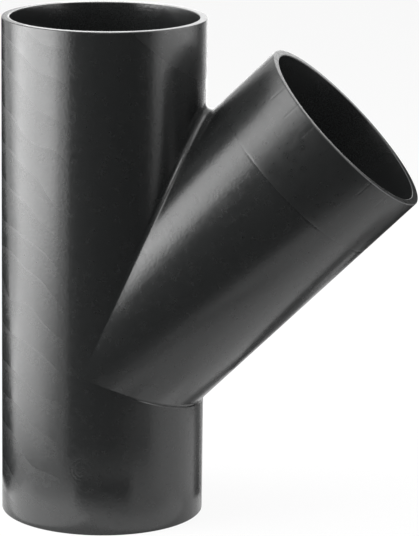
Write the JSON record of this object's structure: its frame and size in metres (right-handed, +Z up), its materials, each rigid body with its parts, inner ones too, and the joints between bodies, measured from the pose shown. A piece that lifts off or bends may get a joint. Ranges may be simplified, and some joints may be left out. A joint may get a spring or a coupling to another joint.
{
  "type": "lateral wye fitting",
  "caption": "Moulded plastic pipe wye: a straight run with an equal branch leaving it at a slant, thin walled, with plain square-cut ends for welding or a coupling.",
  "frame": {"origin": "centre of the run's lower end, on the plane that the fitting stands on", "axes": "+Z up the run's axis, the branch leaves upwards towards +X at 45 degrees, +Y across both"},
  "size_m": [0.2244, 0.11, 0.2721],
  "materials": {
    "moulded_polyethylene": "satin black polyethylene, as moulded"
  },
  "bodies": {
    "root": {"wye_body": "moulded_polyethylene"}
  },
  "joints": []
}
